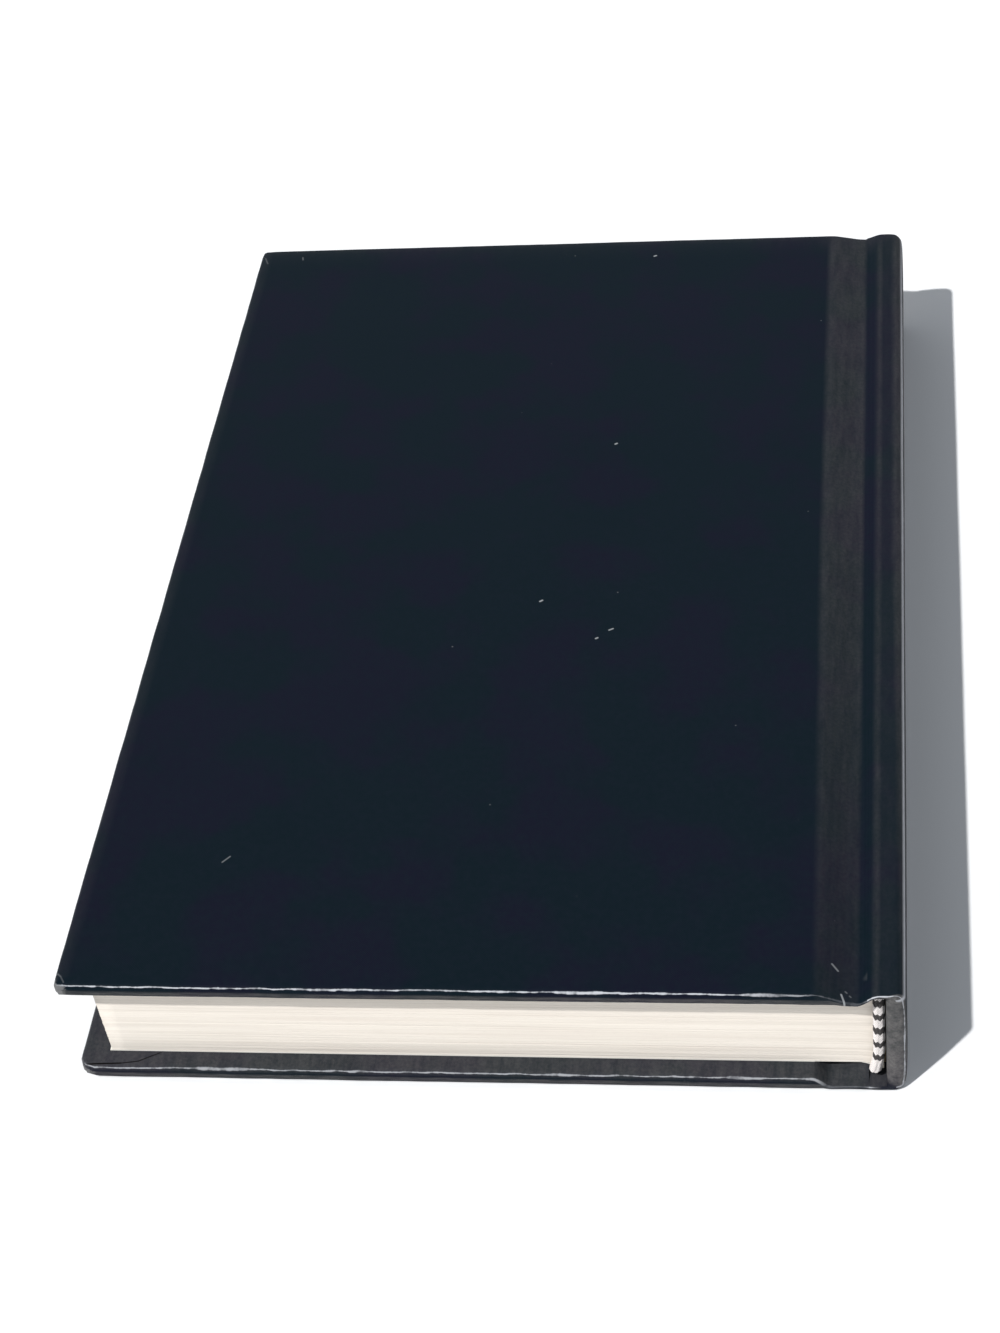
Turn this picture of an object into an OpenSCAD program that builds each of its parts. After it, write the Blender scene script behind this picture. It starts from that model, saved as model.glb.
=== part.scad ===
// Lined journal in a cloth case binding: two covered boards and a flat spine, hinged along
// two joints to a block of sewn pages with striped bands at its head and tail.
// X runs from the fore-edge to the spine, Y from the head (negative) to the tail, and Z up from
// the face of the back cover that the journal lies on. The origin is the middle of that face.

/* [Pages] */
// Width of a leaf, from the glued back to the fore-edge
page_w = 138.3; // [100:0.1:220]
// Height of a leaf, from head to tail
page_h = 215.9; // [150:0.1:300]
// Thickness of all the leaves together
pages_t = 18.6; // [10:0.1:40]
// Number of folded sections in the block
section_count = 12; // [4:1:20]
// Depth of the line between two sections at the trimmed edges
section_line = 0.1; // [0.05:0.05:0.2]
// How much further out the highest leaf reaches at the fore-edge than the lowest one
fore_lean = 0.6; // [0:0.1:2.4]
// Swelling of the block at each side of its glued back
shoulder_h = 1.2; // [0.4:0.1:1.6]
// Width of that swelling
shoulder_w = 4.4; // [3:0.1:6]

/* [Endpapers] */
// Thickness of an endpaper
paper_t = 0.2; // [0.1:0.05:0.4]

/* [Boards] */
// Thickness of the grey board in a cover
board_t = 2.3; // [1.5:0.1:4]
// Overhang of the covers past the pages at the head and the tail
square = 4; // [2.5:0.1:8]
// Overhang of the covers past the pages at the fore-edge
fore_square = 5.4; // [2.5:0.1:9]

/* [Cloth] */
// Thickness of the covering cloth
cloth_t = 0.35; // [0.2:0.05:0.5]
// Width of the cloth turned in round the edge of a board
turn_in = 15; // [10:0.5:25]
// Radius of the cloth along the edge of a cover
edge_r = 0.9; // [0.4:0.1:1]
// Radius of a cover's corner, seen from above
corner_r = 1.2; // [0.6:0.1:3]

/* [Joints] */
// Width of the ridge along the spine
ridge_w = 5.9; // [5:0.1:6.4]
// Width from the ridge to the edge of the board
joint_w = 10.1; // [9:0.1:14]
// Width of the flank from the ridge down into the groove
flank_w = 2.5; // [1.5:0.1:3]
// Depth of the groove along the front joint
groove_front = 2.2; // [1.2:0.1:2.3]
// Depth of the flattened groove along the back joint
groove_back = 0.3; // [0.2:0.05:1]
// How far the ridge stays below the face of the cover
ridge_drop = 0.15; // [0.1:0.05:0.4]

/* [Spine] */
// Thickness of the card in the spine
spine_board_t = 2.7; // [1:0.1:3]
// Outward bow of the spine
spine_bow = 0.3; // [0:0.05:0.4]
// Radius of the cloth over each long edge of the spine
spine_r = 1.8; // [1:0.1:2.2]
// Free gap between the spine and the back of the pages
hollow_gap = 0.4; // [0.4:0.1:2]
// Thickness of the gauze on the back of the pages
mull_t = 0.3; // [0.15:0.05:0.35]
// Thickness of the paper glued over the gauze
lining_t = 0.3; // [0.1:0.05:0.5]
// Width of the gauze pasted down on each board
mull_flap_w = 25; // [15:1:40]

/* [Bands] */
// Diameter of the striped bead
bead_d = 2.1; // [1.6:0.1:2.6]
// Diameter of the cord inside the bead
core_d = 1.3; // [0.8:0.1:1.5]
// Distance from the back of the pages to the middle of the bead
bead_set = 0.75; // [0.6:0.05:1.5]
// Number of stripes on a bead, dark at both ends
stripe_count = 11; // [5:2:21]
// Length of the tape that holds a band to the back of the pages
tape_l = 14; // [8:1:20]

/* [Hidden] */

// Clearance between pieces that meet at a seam
seam = 0.03;
// Steps in the arc of a rounded corner
corner_steps = 4;
// Points along a curved face
curve_steps = 8;
// Room that a cut runs past the piece it cuts
over = 1;

// Whole case
cover_t = board_t + 2 * cloth_t;
case_t = pages_t + 4 * paper_t + 2 * cover_t;
spine_stack = 2 * cloth_t + spine_board_t + hollow_gap + lining_t + mull_t;
case_w = fore_square + page_w + spine_stack;
case_h = page_h + 2 * square;

// Places along X
x_edge = -case_w / 2;
x_fore = x_edge + fore_square;
x_back = x_fore + page_w;
x_out = case_w / 2;
x_ridge = x_out - ridge_w;
x_groove = x_ridge - flank_w;
x_hinge = (x_ridge + x_groove) / 2;
x_board = x_ridge - joint_w;
x_flap = x_board - mull_flap_w;
x_bead = x_back - bead_set;

// Heights
z_paste = cover_t + paper_t;
z_leaf = cover_t + 2 * paper_t;
z_inner = cover_t - cloth_t;
z_card = ridge_drop + cloth_t + seam;
back_end = z_paste - shoulder_h;
bead_low = ridge_drop + 4 * cloth_t;
bead_h = case_t - 2 * bead_low;

// Shoulder of the joint at the edge of the board
lip = 0.6;
lip_room = 0.2;
lip_r = cloth_t + max(cloth_t, seam + mull_t + paper_t) + lip_room;
slope_run = 1.4;
slope_share = 0.4;

// Radius of the cloth at the foot of a groove, and at the inner side of the spine's ridge
groove_r = 1.2;
ridge_r = 1;

// Width of the strand that carries a thread past the stripes of the other colour, and its
// turn away from the side of the bead that faces out
strand_w = 0.3;
strand_turn = 35;

// Straight part left between the rounded long edges of the spine's card and its inner face
card_edge = 0.5;

function unit(v) = v / norm(v);
function left(v) = [-v[1], v[0]];
function reversed(p) = [for (i = [len(p) - 1 : -1 : 0]) p[i]];

// A line of points moved sideways by t, to the left of the way it runs
function shifted(p, t) = [
    for (i = [0 : len(p) - 1])
        let (
            last = len(p) - 1,
            a = i > 0 ? unit(p[i] - p[i - 1]) : unit(p[1] - p[0]),
            b = i < last ? unit(p[i + 1] - p[i]) : a,
            n = unit(left(a) + left(b))
        )
        p[i] + n * t / (n * left(a))
];

// The outline of a layer of thickness t along a line of points
function layer(p, t) = concat(p, reversed(shifted(p, t)));

// The arc that rounds the corner b between a and c
function arc(a, b, c, r) =
    let (
        u = unit(a - b),
        v = unit(c - b),
        half = acos(max(-1, min(1, u * v))) / 2,
        mid = b + unit(u + v) * r / sin(half),
        from = b + u * r / tan(half) - mid,
        to = b + v * r / tan(half) - mid,
        start = atan2(from[1], from[0]),
        turn = atan2(from[0] * to[1] - from[1] * to[0], from * to)
    )
    [for (i = [0 : corner_steps])
        mid + r * [cos(start + turn * i / corner_steps), sin(start + turn * i / corner_steps)]];

// A line of points with its corners rounded; a radius of 0 keeps the corner
function rounded(p, r) = [
    for (i = [0 : len(p) - 1])
        each i > 0 && i < len(p) - 1 && r[i] > 0 ? arc(p[i - 1], p[i], p[i + 1], r[i]) : [p[i]]
];

// A closed outline with its corners rounded
function rounded_loop(p, r) =
    let (n = len(p))
    [for (i = [0 : n - 1])
        each r[i] > 0 ? arc(p[(i + n - 1) % n], p[i], p[(i + 1) % n], r[i]) : [p[i]]];

// Swelling of the block at x
function swell(x) =
    let (share = max(0, (x - (x_back - shoulder_w)) / shoulder_w))
    shoulder_h * share * share;

// Points along the swollen side of the block at depth d from the face of the cover
function swollen(d) = [
    for (i = [0 : curve_steps])
        let (x = x_back - shoulder_w * (1 - i / curve_steps))
        [x, d - swell(x)]
];

// Outer face of the spine at height z
function spine_face(z) = x_out - spine_bow * pow(2 * z / case_t - 1, 2);

// A line of points made longer by d at both ends
function extended(p, d) =
    let (last = len(p) - 1)
    concat([p[0] + unit(p[0] - p[1]) * d], p, [p[last] + unit(p[last] - p[last - 1]) * d]);

// Outer face of the cloth across a joint, as x and depth from the face of the cover
function joint_line(groove) = rounded([
    [x_board + seam, 0],
    [x_board + lip, 0],
    [x_board + lip + slope_run, slope_share * groove],
    [x_groove, groove],
    [x_hinge, (groove + ridge_drop) / 2]
], [0, lip_r, slope_run, groove_r, 0]);

// Outer face of the cloth round the spine, from the back joint to the front one
function spine_line() = rounded(concat(
    [
        [x_hinge + seam, (groove_back + ridge_drop) / 2],
        [x_ridge, ridge_drop],
        [x_out - spine_bow, ridge_drop]
    ],
    [for (i = [2 : curve_steps - 2]) let (z = case_t * i / curve_steps) [spine_face(z), z]],
    [
        [x_out - spine_bow, case_t - ridge_drop],
        [x_ridge, case_t - ridge_drop],
        [x_hinge + seam, case_t - (groove_front + ridge_drop) / 2]
    ]
), concat([0, ridge_r, spine_r], [for (i = [2 : curve_steps - 2]) 0], [spine_r, ridge_r, 0]));

// An outline in X and Z, drawn out along Y between two heights of the page
module along_y(from, to) {
    translate([0, to, 0]) rotate([90, 0, 0]) linear_extrude(to - from) children();
}

// The same piece at both ends of the case
module both_ends() {
    children();
    mirror([0, 1, 0]) children();
}

// A piece of the back cover's side turned over to the front cover's side
module at_front() {
    translate([0, 0, case_t]) mirror([0, 0, 1]) children();
}

// A block between two corners
module block(low, high) {
    translate(low) cube(high - low);
}

// The leaves, with a fine line between two sections at the trimmed edges
module text_block() {
    low = z_leaf;
    high = case_t - z_leaf;
    outline = concat(
        [[x_fore - fore_lean / 2, high], [x_fore + fore_lean / 2, low]],
        swollen(low),
        reversed([for (p = swollen(low)) [p[0], case_t - p[1]]])
    );
    color("#f0e7dc") difference() {
        along_y(-page_h / 2, page_h / 2) polygon(outline);
        for (i = [1 : section_count - 1]) section_cut(low + (high - low) * i / section_count);
    }
}

// The cut that leaves one section line round the three trimmed edges
module section_cut(z) {
    lean = fore_lean * (0.5 - (z - z_leaf) / pages_t);
    inner_x = x_fore + lean + section_line;
    inner_y = page_h / 2 - section_line;
    difference() {
        block([x_fore - over, -page_h / 2 - over, z - section_line / 2],
            [x_back - shoulder_w, page_h / 2 + over, z + section_line / 2]);
        block([inner_x, -inner_y, z - section_line], [x_back, inner_y, z + section_line]);
    }
}

// The free half of an endpaper, on the outermost leaf
module flyleaf() {
    under = concat([[x_fore, z_paste]], swollen(z_paste));
    upper = concat([[x_fore, z_leaf - seam]], swollen(z_leaf - seam));
    color("#f4ede1") along_y(-page_h / 2, page_h / 2) polygon(concat(under, reversed(upper)));
}

// Gauze glued to the back of the pages, between the two bands
module spine_mull() {
    half = page_h / 2 - tape_l - over;
    color("#e8e2d0") block([x_back, -half, back_end], [x_back + mull_t, half, case_t - back_end]);
}

// Paper glued over the gauze and the tapes
module spine_lining() {
    half = page_h / 2 - over;
    x = x_back + mull_t;
    color("#c9b48c") block([x, -half, back_end], [x + lining_t, half, case_t - back_end]);
}

// A ring or a rod on the bead's axis at the head
module on_bead(z, h, outer, inner) {
    translate([x_bead, -page_h / 2 - bead_d / 2, z]) difference() {
        cylinder(h = h, d = outer, $fn = 48);
        if (inner > 0) translate([0, 0, -over]) cylinder(h = h + 2 * over, d = inner, $fn = 48);
    }
}

// The cord inside a bead
module band_core() {
    color("#d8d2c4") on_bead(bead_low, bead_h, core_d, 0);
}

// A lengthwise slab from the bead's axis out past its face, on the side of the pages
module bead_slab(which, w) {
    translate([x_bead, -page_h / 2 - bead_d / 2, bead_low - over])
        rotate([0, 0, 90 + (which == 0 ? -strand_turn : strand_turn)])
        translate([0, -w / 2, 0])
        cube([bead_d, w, bead_h + 2 * over]);
}

// The wound thread of one colour: every second stripe, and the strand that joins its stripes
module band_thread(which) {
    pitch = bead_h / stripe_count;
    r = bead_d / 2 + over;
    y = -page_h / 2 - bead_d / 2;
    difference() {
        on_bead(bead_low, bead_h, bead_d, core_d);
        for (i = [1 - which : 2 : stripe_count - 1]) difference() {
            low = bead_low + i * pitch;
            end = i == 0 || i == stripe_count - 1;
            block([x_bead - r, y - r, i == 0 ? low - over : low],
                [x_bead + r, y + r, i == stripe_count - 1 ? low + pitch + over : low + pitch]);
            if (!end) bead_slab(which, strand_w);
        }
        for (i = [which : 2 : stripe_count - 1]) intersection() {
            low = bead_low + i * pitch;
            block([x_bead - r, y - r, low - over / 10], [x_bead + r, y + r, low + pitch + over / 10]);
            bead_slab(1 - which, strand_w + 2 * seam);
        }
    }
}

// The tape of a band, which meets the bead where the threads are sewn through it
module band_tape() {
    reach = sqrt(pow(bead_d / 2, 2) - pow(min(bead_set, bead_d / 2), 2));
    color("#d8d2c4") block(
        [x_back, -page_h / 2 - bead_d / 2 + reach, back_end],
        [x_back + mull_t, -page_h / 2 + tape_l, case_t - back_end]);
}

// The card that stiffens the spine
module spine_board() {
    heights = [for (i = [0 : curve_steps]) z_card + (case_t - 2 * z_card) * i / curve_steps];
    faces = [for (z = heights) [spine_face(z) - cloth_t - seam, z]];
    inner = [for (p = reversed(faces)) p - [spine_board_t - 2 * seam, 0]];
    last = len(faces) - 1;
    soft = min(spine_r - cloth_t, spine_board_t - card_edge);
    outline = rounded_loop(concat(faces, inner),
        concat([for (i = [0 : last]) i == 0 || i == last ? soft : 0], [for (p = inner) 0]));
    half = case_h / 2 - cloth_t;
    color("#8d8a84") along_y(-half, half) polygon(outline);
}

// Cloth over the spine and its two ridges, turned in at both ends
module spine_cloth() {
    line = spine_line();
    face = [for (i = [0 : curve_steps])
        let (z = z_card + (case_t - 2 * z_card) * i / curve_steps) [spine_face(z), z]];
    inside = [for (p = face) p - [cloth_t + spine_board_t, 0]];
    color("#1d232c") {
        along_y(-case_h / 2, case_h / 2) polygon(layer(line, cloth_t));
        both_ends() {
            along_y(case_h / 2 - turn_in, case_h / 2) polygon(layer(inside, cloth_t));
            along_y(case_h / 2 - cloth_t, case_h / 2)
                polygon(layer(face, 2 * cloth_t + spine_board_t));
            along_y(page_h / 2, case_h / 2) {
                polygon(layer([for (p = line) if (p[0] < spine_face(0) - spine_board_t
                    && p[1] < case_t / 2) p], 2 * cloth_t));
                polygon(layer([for (p = line) if (p[0] < spine_face(0) - spine_board_t
                    && p[1] > case_t / 2) p], 2 * cloth_t));
            }
        }
    }
}

// Cloth across a joint, doubled where it is turned in past the pages
module joint_cloth(groove) {
    line = joint_line(groove);
    inside = shifted(extended(line, over), cloth_t);
    color("#1d232c") difference() {
        along_y(-case_h / 2, case_h / 2) polygon(layer(line, 2 * cloth_t));
        along_y(-page_h / 2, page_h / 2) polygon(layer(inside, lip_r - cloth_t - lip_room / 2));
    }
}

// Gauze and endpaper glued under the cloth of a joint, from the board to the back of the pages
module joint_lining(groove) {
    t = mull_t + paper_t;
    cloth_side = shifted(joint_line(groove), cloth_t + seam);
    kept = [for (p = cloth_side) if (p[0] > x_board + lip + slope_run / 2 && p[0] < x_groove - 1) p];
    line = concat(
        [[x_board + seam, kept[0][1]]],
        kept,
        [[x_groove, groove + cloth_t + seam], [x_back - seam, back_end - t - seam]]
    );
    color("#e8e2d0") along_y(-page_h / 2, page_h / 2) polygon(layer(line, t));
}

// The grey board in a cover
module cover_board() {
    half = case_h / 2 - cloth_t;
    color("#8d8a84") block([x_edge + cloth_t, -half, cloth_t], [x_board, half, z_inner]);
}

// Cloth of a cover, drawn round the board on three sides and turned in
module cover_cloth() {
    side = [[x_edge, 0], [x_board, 0], [x_board, cover_t], [x_edge, cover_t]];
    end = [[-case_h / 2, 0], [case_h / 2, 0], [case_h / 2, cover_t], [-case_h / 2, cover_t]];
    plan = [[x_edge, -case_h / 2], [x_board, -case_h / 2], [x_board, case_h / 2], [x_edge, case_h / 2]];
    half = case_h / 2 - cloth_t;
    open = case_h / 2 - turn_in;
    color("#1d232c") difference() {
        intersection() {
            along_y(-case_h / 2, case_h / 2) polygon(rounded_loop(side, [edge_r, 0, 0, edge_r]));
            translate([x_edge, 0, 0]) rotate([90, 0, 90]) linear_extrude(x_board - x_edge)
                polygon(rounded_loop(end, [edge_r, edge_r, edge_r, edge_r]));
            linear_extrude(cover_t) polygon(rounded_loop(plan, [corner_r, 0, 0, corner_r]));
        }
        block([x_edge + cloth_t, -half, cloth_t], [x_board + over, half, z_inner]);
        block([x_edge + turn_in, -open, cloth_t], [x_board + over, open, cover_t + over]);
    }
}

// The gauze that is pasted to a board under its endpaper
module mull_flap() {
    half = page_h / 2 - tape_l - over;
    color("#e8e2d0") block([x_flap, -half, z_inner], [x_board, half, z_inner + mull_t]);
}

// The pasted half of an endpaper, sunk between the turned-in cloth and the gauze
module pastedown() {
    half = page_h / 2;
    open = min(case_h / 2 - turn_in, half - 2 * paper_t);
    low_x = max(x_edge + turn_in, x_fore + 2 * paper_t);
    color("#f4ede1") difference() {
        union() {
            block([x_fore, -half, cover_t], [x_board, half, z_paste]);
            block([low_x, -open, z_inner], [x_flap - seam, open, z_paste]);
        }
        block([low_x + paper_t, -open + paper_t, z_inner + paper_t],
            [x_flap - seam - paper_t, open - paper_t, z_paste + over]);
    }
}

text_block();
at_front() flyleaf();  // front_flyleaf
flyleaf();  // back_flyleaf
spine_mull();
spine_lining();
band_core();  // head_band_core
color("#2b2725") band_thread(0);  // head_band_dark_thread
color("#efe9e4") band_thread(1);  // head_band_white_thread
band_tape();  // head_band_tape
mirror([0, 1, 0]) band_core();  // tail_band_core
color("#2b2725") mirror([0, 1, 0]) band_thread(0);  // tail_band_dark_thread
color("#efe9e4") mirror([0, 1, 0]) band_thread(1);  // tail_band_white_thread
mirror([0, 1, 0]) band_tape();  // tail_band_tape
spine_board();
spine_cloth();
at_front() joint_cloth(groove_front);  // front_joint_cloth
at_front() joint_lining(groove_front);  // front_joint_lining
joint_cloth(groove_back);  // back_joint_cloth
joint_lining(groove_back);  // back_joint_lining
at_front() cover_board();  // front_board
at_front() cover_cloth();  // front_cover_cloth
at_front() mull_flap();  // front_mull_flap
at_front() pastedown();  // front_pastedown
cover_board();  // back_board
cover_cloth();  // back_cover_cloth
mull_flap();  // back_mull_flap
pastedown();  // back_pastedown
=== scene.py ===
import math
import random

import bmesh
import bpy
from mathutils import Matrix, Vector, noise


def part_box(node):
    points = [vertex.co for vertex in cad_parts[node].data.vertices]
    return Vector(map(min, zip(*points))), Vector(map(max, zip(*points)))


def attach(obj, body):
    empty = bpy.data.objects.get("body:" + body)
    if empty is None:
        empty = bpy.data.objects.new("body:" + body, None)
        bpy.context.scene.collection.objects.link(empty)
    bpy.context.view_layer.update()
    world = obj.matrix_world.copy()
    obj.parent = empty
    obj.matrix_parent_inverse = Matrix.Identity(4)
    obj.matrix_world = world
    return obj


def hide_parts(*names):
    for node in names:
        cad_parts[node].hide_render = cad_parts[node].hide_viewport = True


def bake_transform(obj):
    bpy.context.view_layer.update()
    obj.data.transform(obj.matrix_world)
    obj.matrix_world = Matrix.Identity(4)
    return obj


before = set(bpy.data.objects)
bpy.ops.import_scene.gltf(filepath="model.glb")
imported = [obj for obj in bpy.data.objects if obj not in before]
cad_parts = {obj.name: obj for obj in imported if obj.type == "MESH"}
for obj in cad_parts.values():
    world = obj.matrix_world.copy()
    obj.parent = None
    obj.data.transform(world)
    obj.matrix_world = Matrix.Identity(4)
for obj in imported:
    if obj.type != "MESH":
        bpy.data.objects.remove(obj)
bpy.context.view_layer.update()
random.seed(11)

# Sizes are in millimetres until a vertex is placed
MM = 0.001


def low(node):
    return Vector(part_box(node)[0]) / MM


def high(node):
    return Vector(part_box(node)[1]) / MM


# Places that the frame gives
X_EDGE = low("front_cover_cloth").x
X_BOARD = high("front_cover_cloth").x
X_HINGE = high("front_joint_cloth").x
X_OUT = high("spine_cloth").x
X_FORE = low("front_flyleaf").x
X_BACK = high("front_flyleaf").x
X_PASTE = high("front_pastedown").x
HALF_H = high("front_cover_cloth").y
HALF_PAGE = high("text_block").y
CASE_T = high("front_cover_cloth").z
COVER_T = CASE_T - low("front_cover_cloth").z
CLOTH = CASE_T - high("front_board").z
SPINE_T = X_OUT - low("spine_board").x + CLOTH
SPINE_BODY = "pages_and_spine"

# Edges that turn more than this stay crisp
SHARP = math.radians(50)

# Shape of the cloth case
EDGE_R = 0.9
TURN_IN = 15
FLANK = 2.5
RIDGE_DROP = 0.15
SPINE_R = 1.8
SPINE_BOW = 0.3
SPINE_END_R = 1.5
JOINT_T = 0.78
JOINT_SLANT = 1.7
X_RIDGE = X_HINGE + FLANK / 2
X_GROOVE = X_HINGE - FLANK / 2
LIP = 0.8
FLAT = 2.2

# Depth of the front groove at the head and the tail, of the back one at its ends and between them,
# and how far in from the ends the back one takes to get that deep
GROOVE_HEAD = 2.2
GROOVE_TAIL = 1.2
GROOVE_BACK_END = 0.3
GROOVE_BACK = 1.7
GROOVE_RISE = 5
GROOVE_MARGIN = 0.8

# Turn round the long edge of the spine where its rubbed line runs and a painted highlight strip is brightest,
# and half that strip's width
SPINE_RUB_AND_HIGHLIGHT_TURN = math.radians(71)
SPINE_HIGHLIGHT_W = 0.45

# Strength of the rubbed lines along the fore-edge and towards the tail
FORE_WEAR = 0.10
FAR_WEAR = 0.12

# Painted reflection: the turned-in cloth and the spine's caps are painted greyer, standing in for the pale
# pages and floor they reflect
INNER_REFLECTION = 0.105
CAP_REFLECTION = 0.30

# Shape of the pages
SHOULDER_H = 1.2
SHOULDER_W = 4.4
FORE_LEAN = 2 * (X_FORE - low("text_block").x)
LEAF_T = 0.2
Z_LEAF = COVER_T + 2 * LEAF_T
SECTIONS = 12

# Steps over an edge: along each arc, down the side, and in along the turned-in cloth
ARC_STEPS = 6
SIDE_STEPS = 3
TURN_STEPS = 10


def wave(x, y, seed, pitch):
    """Smooth variation between -1 and 1 with features about one pitch wide."""
    return noise.noise(Vector((x / pitch, y / pitch, seed * 7.3)))


def mix(a, b, share):
    return a + (b - a) * share


def clamp(value, lowest, highest):
    return max(lowest, min(highest, value))


def stations(start, end, step):
    """Evenly spaced values from start to end, about a step apart."""
    count = max(1, round(abs(end - start) / step))
    return [mix(start, end, i / count) for i in range(count + 1)]


def between(points, x):
    """Height at x of the line through the points."""
    for (x0, z0), (x1, z1) in zip(points, points[1:]):
        if x <= x1:
            return mix(z0, z1, clamp((x - x0) / (x1 - x0), 0, 1))
    return points[-1][1]


def smooth_between(points, x, reach=0.75):
    """The same line with its corners worn round, by averaging over a short reach."""
    offsets = [reach * (i / 4 - 1) for i in range(9)]
    return sum(between(points, x + o) for o in offsets) / len(offsets)


def new_layers(bm, names):
    return {name: bm.verts.layers.float.new(name) for name in names}


def mapped_grid(bm, columns, rows, place, layers=None):
    """A grid of columns by rows of vertices, each put where place(column, row) says."""
    made = bmesh.ops.create_grid(bm, x_segments=columns - 1, y_segments=rows - 1, size=1)
    for vert in made["verts"]:
        column = round((vert.co.x + 1) / 2 * (columns - 1))
        row = round((vert.co.y + 1) / 2 * (rows - 1))
        point, values = place(column, row)
        vert.co = Vector(point) * MM
        for name, value in (values or {}).items():
            vert[layers[name]] = value
    return made["verts"]


def tidy(bm, reach=0.002):
    bmesh.ops.remove_doubles(bm, verts=bm.verts, dist=reach * MM)
    bmesh.ops.dissolve_degenerate(bm, edges=bm.edges, dist=reach * MM / 2)


def thicken(bm, thickness):
    """Gives an open sheet a thickness, so that it is closed."""
    bmesh.ops.solidify(bm, geom=bm.faces[:], thickness=thickness * MM)


def closed_skin(bm, columns, rows, place, layers):
    """A grid on the outer side of the cloth and one on its inner side, joined round the border."""
    at = bm.verts.layers.int.new("at")
    bmesh.ops.create_grid(bm, x_segments=columns - 1, y_segments=rows - 1, size=1)
    for vert in bm.verts:
        column = round((vert.co.x + 1) / 2 * (columns - 1))
        row = round((vert.co.y + 1) / 2 * (rows - 1))
        vert[at] = row * columns + column
    made = bmesh.ops.extrude_face_region(bm, geom=bm.faces[:])
    inner = {item for item in made["geom"] if isinstance(item, bmesh.types.BMVert)}
    for vert in bm.verts:
        row, column = divmod(vert[at], columns)
        point, values = place(column, row, CLOTH if vert in inner else 0.0)
        vert.co = Vector(point) * MM
        for name, value in values.items():
            vert[layers[name]] = value
    tidy(bm)
    outward(bm)


def outward(bm):
    bmesh.ops.recalc_face_normals(bm, faces=bm.faces)


def piece(name, bm, materials, rides=None):
    for edge in bm.edges:
        edge.smooth = edge.calc_face_angle(0) < SHARP
    mesh = bpy.data.meshes.new(name)
    bm.to_mesh(mesh)
    bm.free()
    for polygon in mesh.polygons:
        polygon.use_smooth = True
    for material in materials:
        mesh.materials.append(material)
    obj = bpy.data.objects.new(name, mesh)
    bpy.context.scene.collection.objects.link(obj)
    if rides:
        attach(obj, rides)
    return obj


# Node trees

def new_material(name):
    material = bpy.data.materials.new(name)
    material.use_nodes = True
    return material, material.node_tree


def add(tree, kind, inputs=None, **settings):
    """A node with its settings, whose inputs are numbers or other nodes' sockets."""
    made = tree.nodes.new(kind)
    for key, value in settings.items():
        setattr(made, key, value)
    for key, value in (inputs or {}).items():
        if isinstance(value, bpy.types.NodeSocket):
            tree.links.new(value, made.inputs[key])
        else:
            made.inputs[key].default_value = value
    return made


def maths(tree, operation, a, b=0.0, c=0.0):
    return add(tree, "ShaderNodeMath", {0: a, 1: b, 2: c}, operation=operation).outputs[0]


def millimetres(tree):
    """Object coordinates in millimetres."""
    coordinates = add(tree, "ShaderNodeTexCoord")
    scaled = add(tree, "ShaderNodeVectorMath", {0: coordinates.outputs["Object"], "Scale": 1 / MM},
                 operation="SCALE")
    return scaled.outputs[0]


def stretched(tree, vector, scale):
    made = add(tree, "ShaderNodeMapping", {"Vector": vector, "Scale": scale})
    return made.outputs[0]


def noise_at(tree, vector, scale, detail=3.0, roughness=0.55):
    made = add(tree, "ShaderNodeTexNoise",
               {"Vector": vector, "Scale": scale, "Detail": detail, "Roughness": roughness})
    return made.outputs["Fac"]


def ramp(tree, value, start, end, first=0.0, last=1.0):
    """Goes smoothly from first to last while value goes from start to end."""
    made = add(tree, "ShaderNodeMapRange",
               {"Value": value, "From Min": start, "From Max": end, "To Min": first, "To Max": last},
               interpolation_type="SMOOTHSTEP")
    return made.outputs[0]


def blend_colour(tree, share, first, second, kind="MIX"):
    made = add(tree, "ShaderNodeMix", {0: share, 6: first, 7: second}, data_type="RGBA", blend_type=kind)
    return made.outputs[2]


def attribute(tree, name):
    return add(tree, "ShaderNodeAttribute", attribute_name=name).outputs["Fac"]


def principled(tree):
    return tree.nodes["Principled BSDF"]


def set_bump(tree, height, distance, strength=1.0):
    bump = add(tree, "ShaderNodeBump", {"Height": height, "Distance": distance * MM, "Strength": strength})
    tree.links.new(bump.outputs[0], principled(tree).inputs["Normal"])


def weave_height(tree, vector, pitch):
    """Plain weave: threads along X and Y that pass over and under each other."""
    split = add(tree, "ShaderNodeSeparateXYZ", {0: vector})
    turn = 2 * math.pi / pitch
    across = maths(tree, "SINE", maths(tree, "MULTIPLY", split.outputs[0], turn))
    along = maths(tree, "SINE", maths(tree, "MULTIPLY", split.outputs[1], turn))
    up = maths(tree, "SINE", maths(tree, "MULTIPLY", split.outputs[2], turn))
    both = maths(tree, "MULTIPLY", across, along)
    return maths(tree, "ADD", both, maths(tree, "MULTIPLY", up, 0.5))


def mark_strength(tree, vector, marks):
    """Brightness of the lint and scratches: each mark is a short line on the cover."""
    flat = add(tree, "ShaderNodeVectorMath", {0: vector, 1: (1, 1, 0)}, operation="MULTIPLY").outputs[0]
    total = None
    for start, end, width, strength in marks:
        start = Vector((*start, 0))
        line = Vector((*end, 0)) - start
        offset = add(tree, "ShaderNodeVectorMath", {0: flat, 1: start}, operation="SUBTRACT").outputs[0]
        share = add(tree, "ShaderNodeVectorMath", {0: offset, 1: line / line.length_squared},
                    operation="DOT_PRODUCT").outputs["Value"]
        share = add(tree, "ShaderNodeClamp", {0: share}).outputs[0]
        nearest = add(tree, "ShaderNodeVectorMath", {0: line, "Scale": share}, operation="SCALE").outputs[0]
        gap = add(tree, "ShaderNodeVectorMath", {0: offset, 1: nearest},
                  operation="DISTANCE").outputs["Value"]
        value = ramp(tree, gap, width * 0.3, width, strength, 0.0)
        total = value if total is None else maths(tree, "MAXIMUM", total, value)
    return total


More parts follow.
